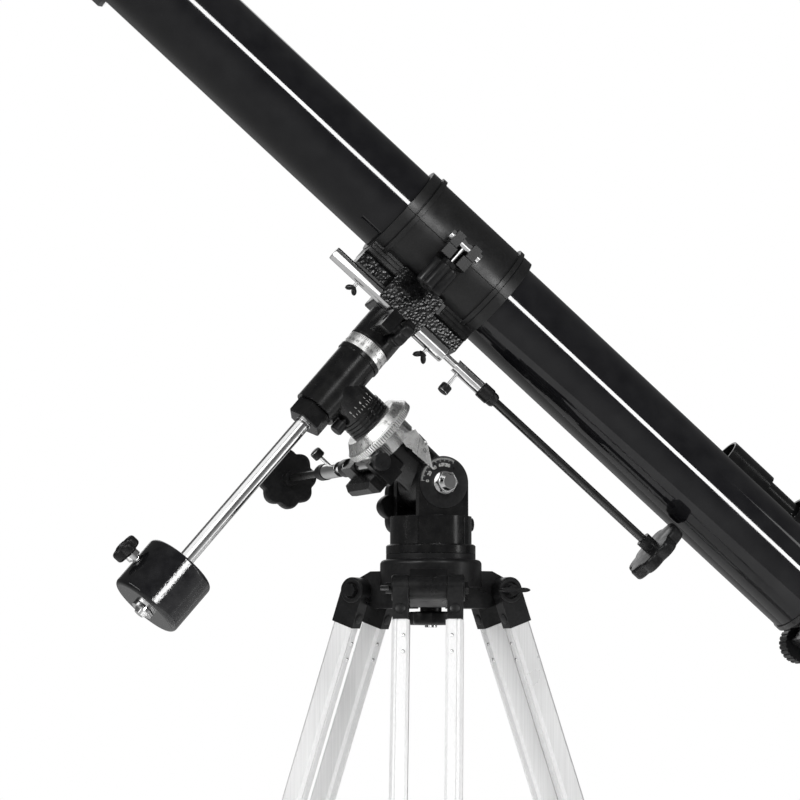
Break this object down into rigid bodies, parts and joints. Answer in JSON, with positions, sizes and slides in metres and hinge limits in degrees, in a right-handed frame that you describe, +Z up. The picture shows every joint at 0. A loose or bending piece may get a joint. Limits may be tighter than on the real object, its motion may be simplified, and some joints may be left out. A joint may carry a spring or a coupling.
{
  "type": "telescope on tripod",
  "caption": "Refracting telescope in a hinged cradle on a small German equatorial mount with slow-motion rods, counterweight and folding tripod.",
  "frame": {"origin": "on the floor, under the middle of the whole telescope's box", "axes": "+Z up; the mount's meridian plane is parallel to XZ, and the polar axis rises towards -X"},
  "size_m": [0.8679, 0.5355, 1.3097],
  "materials": {
    "black_enamel": "gloss black enamel",
    "black_metal": "semi-gloss black paint over a die casting",
    "hammered_black": "hammered gloss black paint",
    "black_plastic": "moulded satin black",
    "rod_black": "moulded black knob and sleeve on a dark rod",
    "bright_metal": "bright plating",
    "silver_satin": "satin anodised aluminium",
    "rubber": "moulded rubber",
    "lens_glass": "coated optical glass"
  },
  "bodies": {
    "tripod": {"tripod_hub": "black_plastic", "leg_hinge_bolts": "black_plastic"},
    "azimuth_head": {"azimuth_base": "black_metal", "base_bolts": "bright_metal"},
    "azimuth_lock": {"azimuth_lock_knob": "black_plastic"},
    "latitude_lock": {"latitude_lock_knob": "black_plastic"},
    "polar_mount": {"polar_housing": "black_metal", "latitude_pointer": "silver_satin"},
    "worm": {"ra_worm_shaft": "bright_metal", "ra_control_rod": "rod_black"},
    "worm_wheel": {"ra_worm_wheel": "bright_metal"},
    "declination_head": {"declination_housing": "black_metal", "ra_shaft": "bright_metal"},
    "ra_lock": {"ra_lock_knob": "black_plastic"},
    "ra_circle": {"ra_setting_circle": "silver_satin"},
    "dec_circle": {"dec_setting_circle": "silver_satin"},
    "dec_collar": {"tangent_collar": "black_metal"},
    "dec_lock": {"dec_lock_knob": "black_plastic"},
    "saddle": {"dec_block": "hammered_black", "spring_tube": "bright_metal", "screw_bush": "bright_metal", "dec_shaft": "bright_metal", "shaft_end_nut": "black_metal", "counterweight_rod": "bright_metal", "cradle_lower": "black_metal", "cradle_hinge_pin": "bright_metal"},
    "dec_drive": {"dec_screw": "bright_metal", "dec_control_rod": "rod_black"},
    "counterweight": {"counterweight": "black_metal"},
    "counterweight_screw": {"counterweight_screw": "black_plastic"},
    "cradle_lid": {"cradle_upper": "black_metal", "clamp_barrel": "bright_metal"},
    "clamp": {"clamp_knob": "black_plastic"},
    "telescope": {"main_tube": "black_enamel", "dew_shield": "black_enamel", "lens_cell": "black_metal", "objective_lens": "lens_glass", "focuser_body": "black_metal", "finder_bracket": "black_metal", "finder_scope": "black_metal"},
    "drawtube": {"drawtube": "bright_metal"},
    "focus_drive": {"focus_shaft": "bright_metal", "focus_knobs": "black_plastic"},
    "diagonal": {"star_diagonal": "black_plastic", "eyepiece": "black_plastic"},
    "front_leg": {"leg_rails_front": "silver_satin", "leg_fittings_front": "black_plastic"},
    "front_lower_leg": {"lower_leg_front": "silver_satin", "foot_front": "rubber"},
    "front_leg_screw": {"leg_screw_front": "black_plastic"},
    "right_leg": {"leg_rails_right": "silver_satin", "leg_fittings_right": "black_plastic"},
    "right_lower_leg": {"lower_leg_right": "silver_satin", "foot_right": "rubber"},
    "right_leg_screw": {"leg_screw_right": "black_plastic"},
    "left_leg": {"leg_rails_left": "silver_satin", "leg_fittings_left": "black_plastic"},
    "left_lower_leg": {"lower_leg_left": "silver_satin", "foot_left": "rubber"},
    "left_leg_screw": {"leg_screw_left": "black_plastic"}
  },
  "joints": [
    {"name": "azimuth_turn", "type": "hinge", "parent": "tripod", "child": "azimuth_head", "pos_m": [-0.0575, 0.0144, 0.7], "axis": [0, 0, 1], "continuous": true},
    {"name": "azimuth_lock_turn", "type": "hinge", "parent": "azimuth_head", "child": "azimuth_lock", "pos_m": [-0.0575, 0.0144, 0.7], "axis": [0, 0, 1], "continuous": true},
    {"name": "latitude_tilt", "type": "hinge", "parent": "azimuth_head", "child": "polar_mount", "pos_m": [-0.0575, 0.0144, 0.763], "axis": [0, 1, 0], "range_deg": [-20, 25]},
    {"name": "latitude_lock_turn", "type": "hinge", "parent": "azimuth_head", "child": "latitude_lock", "pos_m": [-0.0641, 0.0144, 0.746], "axis": [0, 1, 0], "continuous": true},
    {"name": "ra_slow_motion", "type": "hinge", "parent": "polar_mount", "child": "worm_wheel", "pos_m": [-0.05618, 0.0144, 0.7645], "axis": [-0.749, 0, 0.6626], "range_deg": [-45, 20]},
    {"name": "worm_turn", "type": "hinge", "parent": "polar_mount", "child": "worm", "pos_m": [-0.11314, 0.0144, 0.77858], "axis": [0, 1, 0], "range_deg": [-3300, 3300]},
    {"name": "ra_turn", "type": "hinge", "parent": "worm_wheel", "child": "declination_head", "pos_m": [-0.05618, 0.0144, 0.7645], "axis": [-0.749, 0, 0.6626], "range_deg": [-55, 30]},
    {"name": "ra_lock_turn", "type": "hinge", "parent": "declination_head", "child": "ra_lock", "pos_m": [-0.13537, 0.0084, 0.81534], "axis": [-0.6626, 0, -0.749], "continuous": true},
    {"name": "ra_circle_turn", "type": "hinge", "parent": "declination_head", "child": "ra_circle", "pos_m": [-0.05618, 0.0144, 0.7645], "axis": [-0.749, 0, 0.6626], "continuous": true},
    {"name": "dec_circle_turn", "type": "hinge", "parent": "declination_head", "child": "dec_circle", "pos_m": [-0.14475, 0.0144, 0.8402], "axis": [0.6626, 0, 0.749], "continuous": true},
    {"name": "dec_turn", "type": "hinge", "parent": "declination_head", "child": "dec_collar", "pos_m": [-0.14475, 0.0144, 0.8402], "axis": [0.6626, 0, 0.749], "continuous": true},
    {"name": "dec_lock_turn", "type": "hinge", "parent": "dec_collar", "child": "dec_lock", "pos_m": [-0.11127, -0.0192, 0.89736], "axis": [0.749, 0, -0.6626], "continuous": true},
    {"name": "dec_slow_motion", "type": "hinge", "parent": "dec_collar", "child": "saddle", "pos_m": [-0.14475, 0.0144, 0.8402], "axis": [0.6626, 0, 0.749], "range_deg": [-4, 4]},
    {"name": "dec_screw_turn", "type": "hinge", "parent": "saddle", "child": "dec_drive", "pos_m": [-0.09085, -0.00053, 0.90333], "axis": [0.7454, -0.0976, -0.6595], "range_deg": [-450, 450]},
    {"name": "counterweight_slide", "type": "slide", "parent": "saddle", "child": "counterweight", "axis": [0.6626, 0, 0.749], "range_m": [0, 0.15]},
    {"name": "counterweight_screw_turn", "type": "hinge", "parent": "counterweight", "child": "counterweight_screw", "pos_m": [-0.29445, 0.0144, 0.68156], "axis": [-0.749, 0, 0.6626], "continuous": true},
    {"name": "cradle_open", "type": "hinge", "parent": "saddle", "child": "cradle_lid", "pos_m": [-0.03312, 0.06137, 0.95942], "axis": [-0.7454, 0.0976, 0.6595], "range_deg": [0, 90]},
    {"name": "clamp_turn", "type": "hinge", "parent": "saddle", "child": "clamp", "pos_m": [-0.05308, -0.03836, 0.95162], "axis": [-0.6365, 0.1899, -0.7475], "continuous": true},
    {"name": "tube_slide", "type": "slide", "parent": "saddle", "child": "telescope", "axis": [-0.7454, 0.0976, 0.6595], "range_m": [-0.1, 0.1]},
    {"name": "focus_travel", "type": "slide", "parent": "telescope", "child": "drawtube", "axis": [0.7454, -0.0976, -0.6595], "range_m": [-0.032, 0.035]},
    {"name": "focus_knob_turn", "type": "hinge", "parent": "telescope", "child": "focus_drive", "pos_m": [0.28266, -0.03039, 0.63389], "axis": [0.0731, 0.9952, -0.0647], "range_deg": [-380, 420]},
    {"name": "diagonal_turn", "type": "hinge", "parent": "drawtube", "child": "diagonal", "pos_m": [-0.04238, 0.0144, 0.95591], "axis": [-0.7454, 0.0976, 0.6595], "range_deg": [-120, 120]},
    {"name": "front_leg_fold", "type": "hinge", "parent": "tripod", "child": "front_leg", "pos_m": [-0.0819, -0.04041, 0.675], "axis": [0.9135, -0.4067, 0], "range_deg": [0, 19]},
    {"name": "front_leg_slide", "type": "slide", "parent": "front_leg", "child": "front_lower_leg", "axis": [0.1358, 0.3049, 0.9426], "range_m": [0, 0.19]},
    {"name": "front_leg_screw_turn", "type": "hinge", "parent": "front_leg", "child": "front_leg_screw", "pos_m": [-0.13885, -0.16831, 0.25568], "axis": [0.3834, 0.8611, -0.3338], "continuous": true},
    {"name": "right_leg_fold", "type": "hinge", "parent": "tripod", "child": "right_leg", "pos_m": [0.00217, 0.02067, 0.675], "axis": [-0.1045, 0.9945, 0], "range_deg": [0, 19]},
    {"name": "right_leg_slide", "type": "slide", "parent": "right_leg", "child": "right_lower_leg", "axis": [-0.332, -0.0349, 0.9426], "range_m": [0, 0.19]},
    {"name": "right_leg_screw_turn", "type": "hinge", "parent": "right_leg", "child": "right_leg_screw", "pos_m": [0.14141, 0.03531, 0.25568], "axis": [-0.9375, -0.0985, -0.3338], "continuous": true},
    {"name": "left_leg_fold", "type": "hinge", "parent": "tripod", "child": "left_leg", "pos_m": [-0.09277, 0.06294, 0.675], "axis": [-0.809, -0.5878, 0], "range_deg": [0, 19]},
    {"name": "left_leg_slide", "type": "slide", "parent": "left_leg", "child": "left_lower_leg", "axis": [0.1962, -0.2701, 0.9426], "range_m": [0, 0.19]},
    {"name": "left_leg_screw_turn", "type": "hinge", "parent": "left_leg", "child": "left_leg_screw", "pos_m": [-0.17506, 0.17621, 0.25568], "axis": [0.5541, -0.7626, -0.3338], "continuous": true}
  ],
  "couplings": [
    {"joint": "worm_turn", "follows": "ra_slow_motion", "ratio": 72},
    {"joint": "dec_screw_turn", "follows": "dec_slow_motion", "ratio": 107},
    {"joint": "focus_knob_turn", "follows": "focus_travel", "rad_per_m": 201.37}
  ]
}
